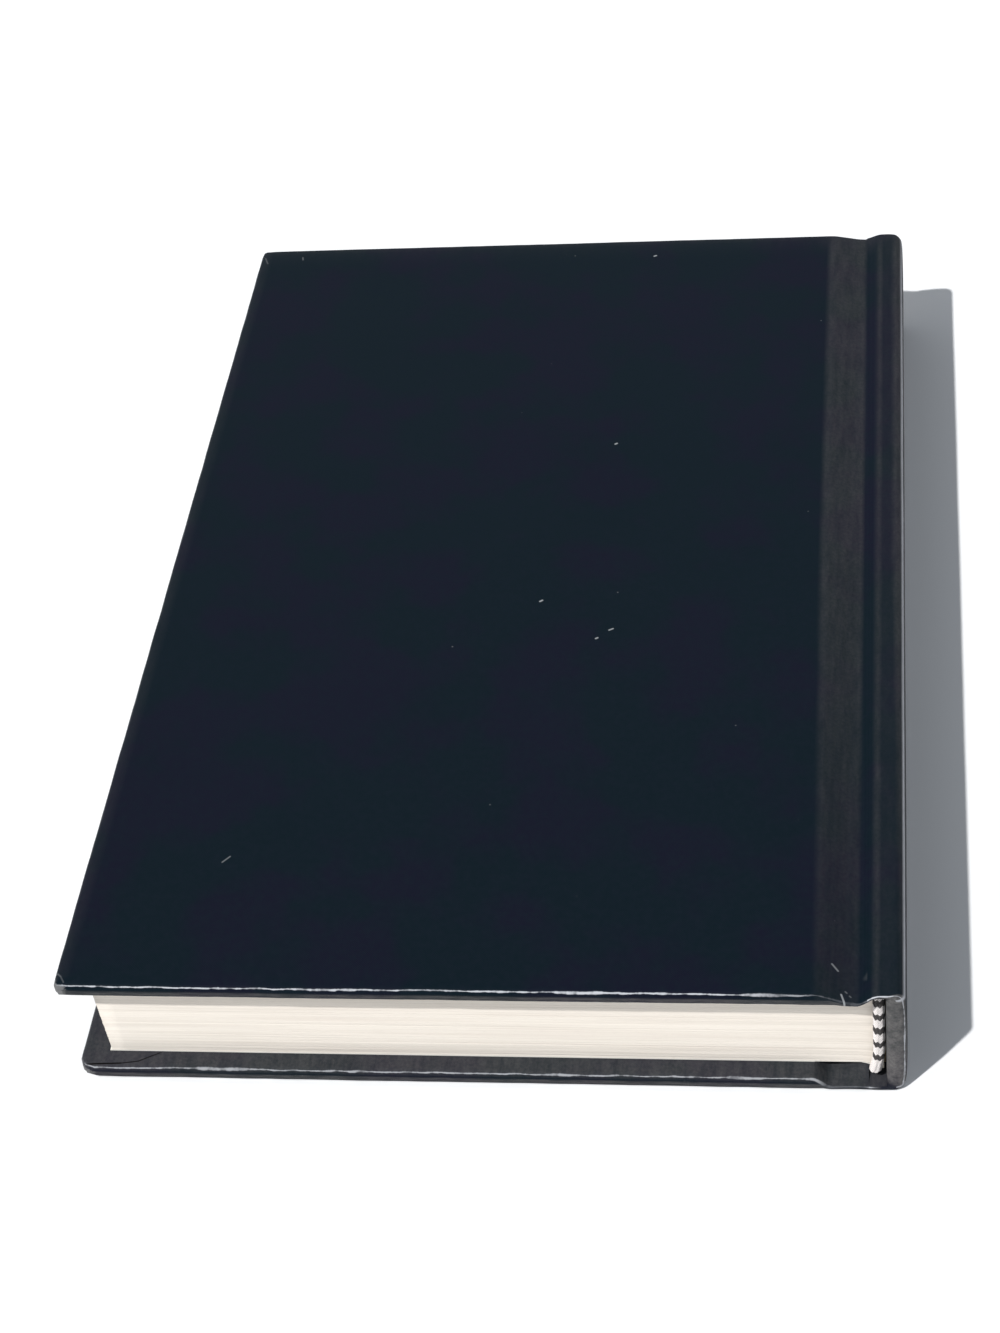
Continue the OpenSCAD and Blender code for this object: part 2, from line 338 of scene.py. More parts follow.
def worn_line(tree, vector):
    """The rubbed line along an edge: it wanders a little and swells into longer patches."""
    drift = ramp(tree, noise_at(tree, vector, 0.2, 2.0), 0.3, 0.7, -0.08, 0.08)
    gap = maths(tree, "ABSOLUTE", maths(tree, "SUBTRACT", attribute(tree, "rub"), drift))
    swelling = ramp(tree, noise_at(tree, vector, 0.11, 2.0), 0.48, 0.70, 0.13, 0.34)
    frayed = ramp(tree, noise_at(tree, vector, 0.8, 3.0, 0.6), 0.3, 0.7, -0.05, 0.06)
    width = maths(tree, "ADD", swelling, frayed)
    line = ramp(tree, maths(tree, "DIVIDE", gap, width), 0.35, 1.15, 1.0, 0.0)
    strength = ramp(tree, noise_at(tree, vector, 0.4, 3.0, 0.65), 0.30, 0.60, 0.30, 1.0)
    wear = maths(tree, "MULTIPLY", maths(tree, "MULTIPLY", line, strength), attribute(tree, "wear"))
    return add(tree, "ShaderNodeClamp", {0: wear}).outputs[0]


def side_reflection(tree, vector, middle):
    """Painted reflection of the pale floor: streaks of grey on the lower half of a cover's edge, below a
    darker band.
    """
    rise = add(tree, "ShaderNodeSeparateXYZ", {0: vector}).outputs[2]
    lower = ramp(tree, rise, middle - 0.15, middle + 0.45, 1.0, 0.0)
    on_side = ramp(tree, attribute(tree, "rub"), 0.15, 0.45)
    streaks = noise_at(tree, stretched(tree, vector, (0.3, 0.3, 2.6)), 1.0, 4.0, 0.65)
    grey = ramp(tree, streaks, 0.3, 0.7, 0.07, 0.19)
    return maths(tree, "MULTIPLY", maths(tree, "MULTIPLY", lower, on_side), grey)


def corner_patches(tree, vector, corners):
    """How strongly the cloth is rubbed round each corner, given its place, its reach and its strength."""
    ragged = ramp(tree, noise_at(tree, vector, 0.9, 4.0, 0.65), 0.25, 0.75, -0.9, 0.9)
    total = None
    for place, reach, strength in corners:
        gap = add(tree, "ShaderNodeVectorMath", {0: vector, 1: place}, operation="DISTANCE").outputs["Value"]
        value = ramp(tree, maths(tree, "ADD", gap, ragged), reach * 0.5, reach, strength, 0.0)
        total = value if total is None else maths(tree, "MAXIMUM", total, value)
    return maths(tree, "MULTIPLY", total, ramp(tree, attribute(tree, "rub"), -0.30, 0.10))


def fold_lines(tree, vector, inner_side, folds):
    """Dark lines, painted shadow at the step where the turned-in cloth is folded at both fore-edge corners of
    a cover's inner side.
    """
    split = add(tree, "ShaderNodeSeparateXYZ", {0: vector})
    mirrored = add(tree, "ShaderNodeCombineXYZ", {
        0: split.outputs[0], 1: maths(tree, "MULTIPLY", maths(tree, "ABSOLUTE", split.outputs[1]), -1.0)})
    line = mark_strength(tree, mirrored.outputs[0], folds)
    height, toward = inner_side
    rise = maths(tree, "MULTIPLY", maths(tree, "SUBTRACT", split.outputs[2], height), toward)
    return maths(tree, "MULTIPLY", line, ramp(tree, rise, -0.3, -0.1))


def book_cloth(name, marks=(), middle=None, corners=(), inner_side=None, long_edge=False):
    """Black book cloth: fine weave, a faint blue and purple cast, pale rubbed edges, lint, and painted
    highlights, reflections and fold shadows where its attributes and arguments call for them.
    """
    material, tree = new_material(name)
    vector = millimetres(tree)
    cast = ramp(tree, noise_at(tree, vector, 0.05, 3.0), 0.42, 0.60)
    deep = blend_colour(tree, cast, (0.0022, 0.0078, 0.0118, 1), (0.0050, 0.0056, 0.0145, 1))
    mottle = noise_at(tree, vector, 0.8, 5.0, 0.65)
    dark = blend_colour(tree, ramp(tree, mottle, 0.35, 0.75, 0.0, 0.6), deep, (0.0065, 0.0112, 0.0180, 1))
    weave = weave_height(tree, vector, 0.42)
    cloth = blend_colour(tree, ramp(tree, weave, -1.0, 1.2, 0.0, 0.3), dark, (0.0090, 0.0138, 0.0220, 1))

    # Cloth painted paler in streaks: a lighter, browner band along the joint, a painted highlight by the
    # ridge, and painted reflections on the turned-in cloth, the caps and the lower half of the edges
    streaks = noise_at(tree, stretched(tree, vector, (1.0, 0.2, 1.0)), 0.6, 5.0, 0.7)
    grain = noise_at(tree, vector, 1.6, 4.0, 0.7)
    streaky = ramp(tree, streaks, 0.25, 0.7, 0.6, 1.2)
    uneven = maths(tree, "MULTIPLY", streaky, ramp(tree, grain, 0.3, 0.7, 0.75, 1.2))
    pale_and_sheen_share = maths(tree, "MULTIPLY", attribute(tree, "pale_and_sheen"), uneven)
    # The lower half of each cover's edge is painted lighter: a painted reflection of the floor
    if middle is not None:
        pale_and_sheen_share = maths(tree, "MAXIMUM", pale_and_sheen_share, side_reflection(tree, vector, middle))
    cloth = blend_colour(tree, pale_and_sheen_share, cloth, (0.335, 0.315, 0.300, 1))
    if corners:
        cloth = blend_colour(tree, corner_patches(tree, vector, corners), cloth, (0.36, 0.355, 0.35, 1))

    # The rubbed line along the edges; on the spine a painted highlight strip along each long edge is mixed in
    # with it
    rub_and_highlight = worn_line(tree, vector)
    if long_edge:
        along = ramp(tree, noise_at(tree, vector, 0.25, 3.0), 0.3, 0.7, 0.82, 1.0)
        rub_and_highlight = maths(tree, "MAXIMUM", rub_and_highlight, maths(tree, "MULTIPLY", attribute(tree, "strip"), along))
    worn = blend_colour(tree, rub_and_highlight, cloth, (0.50, 0.51, 0.54, 1))

    # Small specks of lint all over
    cells = add(tree, "ShaderNodeTexVoronoi", {"Vector": vector, "Scale": 0.16, "Randomness": 1.0})
    speck = ramp(tree, cells.outputs["Distance"], 0.015, 0.035, 1.0, 0.0)
    chosen = add(tree, "ShaderNodeSeparateColor", {0: cells.outputs["Color"]}).outputs[0]
    lint = maths(tree, "MULTIPLY", speck, ramp(tree, chosen, 0.55, 1.0, 0.0, 0.20))
    if marks:
        lint = maths(tree, "MAXIMUM", lint, mark_strength(tree, vector, marks))
    final = blend_colour(tree, lint, worn, (0.50, 0.52, 0.53, 1))
    height = maths(tree, "ADD", maths(tree, "MULTIPLY", weave, 0.35), maths(tree, "MULTIPLY", mottle, 0.8))
    height = maths(tree, "ADD", height, maths(tree, "MULTIPLY", rub_and_highlight, 0.6))
    if inner_side:
        fold = fold_lines(tree, vector, inner_side, CORNER_FOLDS)
        # The folds are painted dark: painted shadow at each fold's step
        final = blend_colour(tree, fold, final, (0.003, 0.0025, 0.0025, 1))
        height = maths(tree, "SUBTRACT", height, maths(tree, "MULTIPLY", fold, 4.0))
    tree.links.new(final, principled(tree).inputs["Base Color"])
    gloss = ramp(tree, mottle, 0.3, 0.75, 0.52, 0.68)
    gloss = maths(tree, "MAXIMUM", gloss, maths(tree, "MULTIPLY", rub_and_highlight, 0.85))
    tree.links.new(gloss, principled(tree).inputs["Roughness"])
    principled(tree).inputs["Specular IOR Level"].default_value = 0.03
    set_bump(tree, height, 0.03, 0.5)
    return material


def paper(name, light, shade, grain=0.6):
    """Uncoated paper with cloudy fibres."""
    material, tree = new_material(name)
    vector = millimetres(tree)
    fibres = noise_at(tree, vector, grain, 6.0, 0.7)
    cloud = noise_at(tree, vector, 0.03, 2.0)
    share = maths(tree, "ADD", maths(tree, "MULTIPLY", fibres, 0.5), maths(tree, "MULTIPLY", cloud, 0.5))
    colour = blend_colour(tree, ramp(tree, share, 0.3, 0.7), (*shade, 1), (*light, 1))
    tree.links.new(colour, principled(tree).inputs["Base Color"])
    principled(tree).inputs["Roughness"].default_value = 0.9
    principled(tree).inputs["Specular IOR Level"].default_value = 0.25
    set_bump(tree, fibres, 0.02, 0.4)
    return material, tree, colour


def ruled_paper():
    """A page with pale ruled lines below a margin at its head."""
    material, tree, colour = paper("ruled_page", (0.80, 0.745, 0.665), (0.75, 0.69, 0.60))
    vector = millimetres(tree)
    split = add(tree, "ShaderNodeSeparateXYZ", {0: vector})
    pitch = 7.1
    head_margin = 24
    foot_margin = 12
    down = maths(tree, "ADD", split.outputs[1], HALF_PAGE - head_margin)
    place = maths(tree, "FRACT", maths(tree, "DIVIDE", down, pitch))
    gap = maths(tree, "MULTIPLY", maths(tree, "ABSOLUTE", maths(tree, "SUBTRACT", place, 0.5)), pitch)
    line = ramp(tree, gap, 0.09, 0.17, 1.0, 0.0)
    after = ramp(tree, down, -pitch * 0.1, 0.0)
    before = ramp(tree, split.outputs[1], HALF_PAGE - foot_margin, HALF_PAGE - foot_margin + 0.5, 1.0, 0.0)
    ink = noise_at(tree, vector, 2.5, 2.0)
    line = maths(tree, "MULTIPLY", maths(tree, "MULTIPLY", line, after), before)
    line = maths(tree, "MULTIPLY", line, ramp(tree, ink, 0.2, 0.7, 0.55, 0.85))
    ruled = blend_colour(tree, line, colour, (0.33, 0.36, 0.42, 1))
    tree.links.new(ruled, principled(tree).inputs["Base Color"])
    return material


def page_edges():
    """The cut edges of many leaves: fine lines of slightly different tone, and painted shade in the gaps
    between sections.
    """
    material, tree = new_material("page_edges")
    vector = millimetres(tree)
    leaves = noise_at(tree, stretched(tree, vector, (0.012, 0.012, 3.6)), 1.0, 5.0, 0.75)
    groups = noise_at(tree, stretched(tree, vector, (0.02, 0.02, 0.55)), 1.0, 2.0)
    grain = noise_at(tree, stretched(tree, vector, (0.8, 0.8, 5.0)), 1.0, 3.0)
    tone = maths(tree, "ADD", maths(tree, "MULTIPLY", leaves, 0.6), maths(tree, "MULTIPLY", groups, 0.4))
    light = blend_colour(tree, ramp(tree, tone, 0.36, 0.60), (0.765, 0.695, 0.615, 1), (0.85, 0.785, 0.70, 1))
    soiled = blend_colour(tree, ramp(tree, grain, 0.55, 0.85, 0.0, 0.3), light, (0.60, 0.54, 0.46, 1))
    # Painted shade in the gaps between sections
    gap = attribute(tree, "gap")
    final = blend_colour(tree, maths(tree, "MULTIPLY", gap, 0.28), soiled, (0.45, 0.40, 0.35, 1))
    tree.links.new(final, principled(tree).inputs["Base Color"])
    principled(tree).inputs["Roughness"].default_value = 0.92
    principled(tree).inputs["Specular IOR Level"].default_value = 0.2
    set_bump(tree, leaves, 0.06, 0.7)
    return material


def grey_board():
    material, tree = new_material("grey_board")
    vector = millimetres(tree)
    flecks = noise_at(tree, vector, 1.6, 6.0, 0.8)
    cloud = noise_at(tree, vector, 0.12, 2.0)
    base = blend_colour(tree, ramp(tree, flecks, 0.35, 0.65), (0.20, 0.19, 0.175, 1), (0.34, 0.33, 0.31, 1))
    colour = blend_colour(tree, ramp(tree, cloud, 0.4, 0.7, 0.0, 0.4), base, (0.27, 0.24, 0.20, 1))
    tree.links.new(colour, principled(tree).inputs["Base Color"])
    principled(tree).inputs["Roughness"].default_value = 0.95
    set_bump(tree, flecks, 0.05, 0.6)
    return material


def gauze():
    """Starched gauze: an open weave over glue-soaked paper."""
    material, tree = new_material("gauze")
    vector = millimetres(tree)
    weave = weave_height(tree, vector, 1.1)
    fuzz = noise_at(tree, vector, 2.0, 4.0)
    colour = blend_colour(tree, ramp(tree, weave, -0.3, 0.5), (0.42, 0.37, 0.28, 1), (0.72, 0.68, 0.57, 1))
    colour = blend_colour(tree, ramp(tree, fuzz, 0.4, 0.7, 0.0, 0.35), colour, (0.60, 0.54, 0.42, 1))
    tree.links.new(colour, principled(tree).inputs["Base Color"])
    principled(tree).inputs["Roughness"].default_value = 0.85
    set_bump(tree, weave, 0.08, 0.8)
    return material


def tape_cloth():
    material, tree = new_material("band_tape")
    vector = millimetres(tree)
    weave = weave_height(tree, vector, 0.5)
    fuzz = noise_at(tree, vector, 3.0, 3.0)
    colour = blend_colour(tree, ramp(tree, weave, -1.0, 1.0), (0.50, 0.46, 0.38, 1), (0.74, 0.70, 0.62, 1))
    colour = blend_colour(tree, ramp(tree, fuzz, 0.4, 0.7, 0.0, 0.3), colour, (0.58, 0.53, 0.44, 1))
    tree.links.new(colour, principled(tree).inputs["Base Color"])
    principled(tree).inputs["Roughness"].default_value = 0.9
    set_bump(tree, weave, 0.05, 0.7)
    return material


def thread(name, light, dark):
    """Twisted thread: slanting plies with loose fibres."""
    material, tree = new_material(name)
    vector = millimetres(tree)
    plies = add(tree, "ShaderNodeTexWave", {"Vector": vector, "Scale": 1.4, "Distortion": 2.5, "Detail": 2.0},
                wave_type="BANDS", bands_direction="DIAGONAL").outputs["Fac"]
    fuzz = noise_at(tree, vector, 4.0, 4.0, 0.7)
    colour = blend_colour(tree, ramp(tree, plies, 0.15, 0.75), (*dark, 1), (*light, 1))
    colour = blend_colour(tree, ramp(tree, fuzz, 0.5, 0.8, 0.0, 0.4), colour, (*light, 1))
    tree.links.new(colour, principled(tree).inputs["Base Color"])
    principled(tree).inputs["Roughness"].default_value = 0.75
    principled(tree).inputs["Sheen Weight"].default_value = 0.2
    set_bump(tree, maths(tree, "ADD", plies, fuzz), 0.05, 0.8)
    return material


# The cloth case

def groove_at(side, y):
    """Depth of the groove: shallower towards the tail at the front, flattened at both ends at the back."""
    if side < 0:
        share = clamp((HALF_H - GROOVE_MARGIN - abs(y)) / GROOVE_RISE, 0, 1)
        return mix(GROOVE_BACK_END, GROOVE_BACK, share * share * (3 - 2 * share))
    return mix(GROOVE_HEAD, GROOVE_TAIL, clamp((y + HALF_H) / (2 * HALF_H), 0, 1))


def joint_slant(side, y):
    """How far the back groove moves out from the board to lie under the block, away from both ends."""
    return JOINT_SLANT * clamp((HALF_H - abs(y)) / GROOVE_RISE, 0, 1) if side < 0 else 0.0


def case_depth(x, groove):
    """Depth of the cloth's outer face below the face of the cover, from the board to the spine."""
    line = [
        (X_BOARD - 1, 0), (X_BOARD + LIP, 0), (X_GROOVE - FLAT, groove * 0.86), (X_GROOVE, groove),
        (X_RIDGE, RIDGE_DROP), (X_OUT + 1, RIDGE_DROP),
    ]
    return smooth_between(line, x)


def case_thickness(x, side, groove):
    """Thickness over board and cloth, which falls to the doubled cloth alone in the joint."""
    if side > 0:
        return max(JOINT_T, COVER_T - case_depth(x, groove)) if x < X_GROOVE else JOINT_T
    return smooth_between([(X_BOARD, COVER_T), (X_BOARD + 2.4, JOINT_T), (X_OUT, JOINT_T)], x, 0.6)


def edge_radius(thickness, limit):
    return min(limit, thickness / 2 - 0.02)


def over_edge(thickness, inset=0.0, limit=EDGE_R):
    """Steps over an edge and in below: outward offset, depth, and distance past the rubbed line."""
    radius = edge_radius(thickness, limit)
    base = max(EDGE_R, radius)
    bend = radius - inset
    steps = []
    for i in range(ARC_STEPS + 1):
        angle = math.pi / 2 * i / ARC_STEPS
        out = base - radius + bend * math.sin(angle)
        steps.append((out, radius - bend * math.cos(angle), radius * (angle - math.pi / 4)))
    flat = thickness - 2 * radius
    for i in range(1, SIDE_STEPS + 1):
        share = i / (SIDE_STEPS + 1)
        reach = min(share, 1 - share) * flat + radius * math.pi / 4
        steps.append((base - inset, radius + flat * share, reach))
    for out, depth, reach in reversed(steps[: ARC_STEPS + 1]):
        steps.append((out, thickness - depth, reach))
    for i in range(1, TURN_STEPS + 1):
        share = (i / TURN_STEPS) ** 1.3
        steps.append((-share * (TURN_IN - base), thickness - inset, -share * TURN_IN - radius * math.pi / 4))
    return steps


WRAP = len(over_edge(COVER_T)) - 1


def rounded_plan(x, y, radii):
    """Pulls the square corners at the fore-edge in to round ones, of the head's and the tail's radius."""
    radius = radii[0] if y < 0 else radii[1]
    side = -1 if y < 0 else 1
    corner = Vector((X_EDGE + radius, side * (HALF_H - radius)))
    offset = Vector((x, y)) - corner
    if offset.x >= 0 or offset.y * side <= 0:
        return x, y
    square = max(abs(offset.x), abs(offset.y))
    return tuple(corner + offset * (square / offset.length))


def cover_skin(side, radii, marks_seed):
    """Places the vertices of one cover's cloth and its joint; side is 1 for the front, -1 for the back."""
    xs = stations(X_EDGE + EDGE_R, X_BOARD - 1.5, 2.2) + stations(X_BOARD - 1.1, X_HINGE, 0.4)
    near = stations(0, 16, 1.6)
    end = HALF_H - EDGE_R
    ys = [-end + d for d in near] + stations(-end + 18.5, end - 18.5, 2.4) + [end - d for d in reversed(near)]

    def place(column, row, inset):
        a = max(0, WRAP - column)
        x = xs[max(0, column - WRAP)]
        b = max(0, WRAP - row, row - WRAP - len(ys) + 1)
        y = ys[clamp(row - WRAP, 0, len(ys) - 1)]
        toward = -1 if row < WRAP else 1
        step = max(a, b)
        thickness = case_thickness(x, side, groove_at(side, y))
        out, depth, rub = over_edge(thickness, inset)[step]
        pivot_x, pivot_y = X_EDGE + EDGE_R, toward * end
        turn = 0.0 if a else math.pi / 2
        if a and b:
            turn = math.pi / 2 * (0.5 * b / a if a >= b else 1 - 0.5 * a / b)
            if out >= 0:
                px, py = pivot_x - out * math.cos(turn), pivot_y + toward * out * math.sin(turn)
            else:
                px, py = pivot_x - out, pivot_y + toward * out
        elif a:
            px, py = pivot_x - out, clamp(y, -end - min(out, 0), end + min(out, 0))
        elif b:
            px, py = max(x, pivot_x - min(out, 0)), pivot_y + toward * out
        else:
            px, py = x, y
            rub = -EDGE_R * math.pi / 4 - min(x - pivot_x, end - abs(y))
            turn = 0.0 if x - pivot_x < end - abs(y) else math.pi / 2
        depth = depth + case_depth(px - joint_slant(side, py), groove_at(side, py))
        # Slight unevenness of the covering, always inward so that nothing grows
        depth += 0.05 * (1 + wave(px, py, marks_seed, 22)) if step <= ARC_STEPS else 0.0
        if 0 < step <= 2 * ARC_STEPS + SIDE_STEPS + 1:
            pull = 0.07 * (1 + wave(px, py, marks_seed + 2, 9)) + 0.05 * (1 + wave(px, py, marks_seed + 4, 3))
            if a:
                px += pull
            if b:
                py -= toward * pull
        px, py = rounded_plan(px, py, radii)
        rim = rim_fade(rub, turn, py) if step <= ARC_STEPS else 0.0
        # Paler where painted: a band by the groove, a painted highlight by the ridge, browner rims, and a
        # painted reflection on the turned-in cloth
        pale_and_sheen = max(pale_and_highlight_at(px, py, side), turn_in_reflection(step), rim)
        z = CASE_T - depth if side > 0 else depth
        wear = cover_wear(px, py, side, turn)
        return (px, py, z), {"rub": rub, "pale_and_sheen": pale_and_sheen, "wear": wear}

    return xs, ys, place


def cover_wear(x, y, side, turn):
    """How strongly the line along an edge is rubbed: most at the head, least at the fore-edge."""
    head = 1.0 if side > 0 else 0.62
    across = mix(head, FAR_WEAR, clamp((y + HALF_H) / HALF_H, 0, 1))
    in_joint = clamp((x - X_BOARD - 0.5) / 1.5, 0, 1) * clamp((X_RIDGE - 0.6 - x) / 1.2, 0, 1)
    across *= 1 - 0.80 * in_joint
    if side > 0:
        across *= 1 - 0.45 * clamp((x - X_BOARD + 12) / 6, 0, 1) * clamp((X_RIDGE - x) / 1.5, 0, 1)
    return mix(FORE_WEAR, across, clamp(math.sin(turn), 0, 1) ** 2)


def rim_fade(rub, turn, y):
    """The cloth is browned in a narrow strip along the fore-edge and the tail."""
    strip = clamp(1 + (rub + 0.5) / 1.1, 0, 1)
    tail = clamp(y / HALF_H, 0, 1)
    return strip * mix(0.028, 0.032 * tail, clamp(math.sin(turn), 0, 1))


def pale_and_highlight_at(x, y, side):
    """How much paler the cloth is painted: a lighter, browner band on the slope into the groove, a painted
    highlight along the ridge, and paler cloth over the ridge, the spine's rounding and near the far edges.
    """
    toward_far = clamp((y + HALF_H) / HALF_H, 0, 1)
    first = X_BOARD - 1.0 * toward_far
    slope = clamp((x - first) / 1.2, 0, 1) * clamp((X_GROOVE + 0.1 - x) / 0.8, 0, 1)
    # A painted highlight along the ridge
    shine = clamp(1.2 - abs(x - X_RIDGE - 0.3) / 0.8, 0, 1)
    ridge = clamp((x - X_RIDGE) / 0.8, 0, 1)
    rounding = clamp((x - X_OUT + SPINE_R + 1.2 * toward_far) / 1.2, 0, 1)
    far = clamp((y - HALF_H + 9) / 9, 0, 1) ** 2
    far_joint = far * clamp((x - X_BOARD + 6) / 6, 0, 1)
    return max(slope * mix(0.024, 0.062, toward_far), shine * 0.050, ridge * 0.016,
               rounding * mix(0.045, 0.075, toward_far), far * 0.02, far_joint * 0.05)


def turn_in_reflection(step):
    """The cloth round the lower edge and turned in below it is painted greyer: a painted reflection of the
    pale pages and floor.
    """
    return INNER_REFLECTION * clamp((step - ARC_STEPS - SIDE_STEPS) / (ARC_STEPS - 1), 0, 1)


def cover_piece(name, side, radii, material, seed):
    xs, ys, place = cover_skin(side, radii, seed)
    bm = bmesh.new()
    layers = new_layers(bm, ["rub", "pale_and_sheen", "wear"])
    closed_skin(bm, WRAP + len(xs), 2 * WRAP + len(ys), place, layers)
    obj = piece(name, bm, [material])
    label = "front" if side > 0 else "back"
    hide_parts(label + "_cover_cloth", label + "_joint_cloth")
    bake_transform(obj)
    return obj


def spine_outline():
    """Steps round the spine: the x of the two ridges, the turns of the two arcs and the z of the face."""
    centre = X_OUT - SPINE_R - SPINE_BOW
    top = stations(X_HINGE, centre, 0.4)
    arc = [math.pi / 2 * i / 8 for i in range(1, 9)]
    face = stations(CASE_T - RIDGE_DROP - SPINE_R, RIDGE_DROP + SPINE_R, 1.2)[1:-1]
    return top, arc, centre, face


def cap_shade(x, z):
    """The foot of the cap is dark where the cloth is split beside the block, so the cap's painted reflection
    is weaker there.
    """
    if x < X_RIDGE + 1:
        return 1.0
    return clamp((z - 1.0) / 1.4, clamp((x - X_OUT + 2.2) / 1.2, 0.12, 1), 1)


def spine_piece(material):
    """Cloth round the spine and over its two ridges, turned in at the head and the tail."""
    top, arc, centre, face = spine_outline()
    x_in = X_OUT - SPINE_T

    def arc_point(turn, side):
        depth = RIDGE_DROP + SPINE_R * (1 - math.cos(turn))
        inner_depth = RIDGE_DROP + JOINT_T
        outer = (centre + SPINE_R * math.sin(turn), CASE_T - depth if side > 0 else depth)
        inner = (x_in, CASE_T - inner_depth if side > 0 else inner_depth)
        return outer, inner, SPINE_R * (turn - SPINE_RUB_AND_HIGHLIGHT_TURN)

    def ridge_point(x, y, side):
        slant = joint_slant(side, y) * clamp((X_HINGE + 2.8 - x) / 2.8, 0, 1)
        depth = case_depth(x - slant, groove_at(side, y))
        inner_depth = depth + JOINT_T
        inner = (min(x, x_in), CASE_T - inner_depth if side > 0 else inner_depth)
        return (x, CASE_T - depth if side > 0 else depth), inner, x - centre - SPINE_R * SPINE_RUB_AND_HIGHLIGHT_TURN

    def outline(index, y):
        """Outer point, inner point and distance past the rubbed strip at a step along the outline."""
        if index < len(top):
            return ridge_point(top[index], y, 1)
        index -= len(top)
        if index < len(arc):
            return arc_point(arc[index], 1)
        index -= len(arc)
        if index < len(face):
            z = face[index]
            bow = SPINE_BOW * (1 - (2 * z / CASE_T - 1) ** 2)
            inner_z = clamp(z, RIDGE_DROP + JOINT_T, CASE_T - RIDGE_DROP - JOINT_T)
            past = min(z, CASE_T - z) - RIDGE_DROP - SPINE_R + SPINE_R * (math.pi / 2 - SPINE_RUB_AND_HIGHLIGHT_TURN)
            return (X_OUT - SPINE_BOW + bow, z), (x_in, inner_z), past
        index -= len(face)
        if index < len(arc):
            return arc_point(arc[len(arc) - 1 - index], -1)
        return ridge_point(top[len(top) - 1 - (index - len(arc))], y, -1)

    columns = 2 * len(top) + 2 * len(arc) + len(face)
    shares = [y / HALF_H for y in stations(-HALF_H, HALF_H, 2.4)]

    def place(column, row, inset):
        b = max(0, WRAP - row, row - WRAP - len(shares) + 1)
        y = shares[clamp(row - WRAP, 0, len(shares) - 1)] * HALF_H
        toward = -1 if row < WRAP else 1
        first, inner, past = outline(column, y)
        gap = math.dist(first, inner)
        end = HALF_H - max(EDGE_R, edge_radius(gap, SPINE_END_R))
        out, depth, rub = over_edge(gap, inset, SPINE_END_R)[b]
        share = depth / gap
        y = toward * (end + out) if b else y / HALF_H * end
        x = mix(first[0], inner[0], share)
        z = mix(first[1], inner[1], share)
        if not b:
            rub = -edge_radius(gap, SPINE_END_R) * math.pi / 4 - end + abs(y)
        wear = mix(1.0, FAR_WEAR, clamp((y + HALF_H) / HALF_H, 0, 1))
        turned_in = b > ARC_STEPS + 1
        if turned_in:
            wear *= 0.62 * clamp((X_RIDGE + 0.6 - x) / 1.2, 0, 1)
        # A pale strip, a painted highlight, runs along each long edge of the spine, and narrows over its ends
        width = SPINE_HIGHLIGHT_W * mix(1.0, 0.45, clamp(b / ARC_STEPS, 0, 1))
        strip = 0.0 if turned_in else clamp(1.5 - abs(past) / width, 0, 1)
        strip *= mix(1.0, 0.55, clamp((y - HALF_H + 60) / 60, 0, 1))
        # The ends of the spine are pushed in a little, most at the middle of the cap
        if 0 < b <= 2 * ARC_STEPS + SIDE_STEPS + 1:
            y -= toward * (0.10 * (1 + wave(x, z, 31, 5)) + 0.05 * (1 + wave(x, z, 33, 1.5)))
        if b <= ARC_STEPS:
            x -= 0.06 * (1 + wave(z, y, 35, 16)) * clamp((x - centre) / SPINE_R, 0, 1)
        pale_and_sheen = pale_and_highlight_at(x, y, 1)
        # The caps, the inner side and the turned-in cloth are painted lighter: a painted reflection of the
        # pale floor and pages
        if b > 1:
            cap = clamp((x - X_RIDGE) / 2, INNER_REFLECTION / CAP_REFLECTION, 1) * cap_shade(x, z)
            pale_and_sheen = max(pale_and_sheen, CAP_REFLECTION * cap)
        if inset or b > 2 * ARC_STEPS + SIDE_STEPS:
            pale_and_sheen = INNER_REFLECTION
        return (x, y, z), {"rub": rub, "pale_and_sheen": pale_and_sheen, "wear": wear, "strip": strip}

    bm = bmesh.new()
    layers = new_layers(bm, ["rub", "pale_and_sheen", "wear", "strip"])
    closed_skin(bm, columns, 2 * WRAP + len(shares), place, layers)
    obj = piece("spine_book_cloth", bm, [material], SPINE_BODY)
    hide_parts("spine_cloth")
    return obj


def eased_block(first, last, corners, corner_r, rim_r):
    """A block between two places, with upright corners rounded and the rims of its faces eased."""
    bm = bmesh.new()
    bmesh.ops.create_cube(bm, size=1)
    middle, size = (first + last) / 2, last - first
    for vert in bm.verts:
        vert.co = Vector((middle[i] + vert.co[i] * size[i] for i in range(3))) * MM
    upright = [e for e in bm.edges if corners(e.verts[0].co / MM, e.verts[1].co / MM)]
    bmesh.ops.bevel(bm, geom=upright, offset=corner_r * MM, affect="EDGES", segments=5, profile=0.5,
                    material=-1)
    rims = [e for e in bm.edges if len(e.link_faces) == 2 and e.calc_face_angle(0) > 0.8
            and min(v.co.x for v in e.verts) < (X_BOARD - 1) * MM]
    if rim_r:
        bmesh.ops.bevel(bm, geom=rims, offset=rim_r * MM, affect="EDGES", segments=3, profile=0.5,
                        material=-1)
    outward(bm)
    return bm


def board_piece(label, side, radii, material):
    """The grey board, with its edges and corners eased."""
    node = label + "_board"
    bm = eased_block(low(node), high(node), lambda a, b: abs(a.z - b.z) > 1 and a.x < 0, max(radii), 0.5)
    obj = piece(label + "_grey_board", bm, [material], label + "_cover")
    for polygon in obj.data.polygons:
        polygon.use_smooth = False
    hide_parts(node)
    return obj


def spine_card(material):
    """The card in the spine, rounded along its outer long edges and short of the cloth at both ends."""
    short = Vector((0.15, 1.0, 0.35))
    bm = eased_block(low("spine_board") + short, high("spine_board") - short,
                     lambda a, b: abs(a.y - b.y) > 1 and a.x > X_OUT - 1.5, 1.6, 0)
    obj = piece("spine_card", bm, [material], SPINE_BODY)
    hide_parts("spine_board")
    return obj


# The pages

def swell(x):
    share = max(0.0, (x - (X_BACK - SHOULDER_W)) / SHOULDER_W)
    return SHOULDER_H * share * share


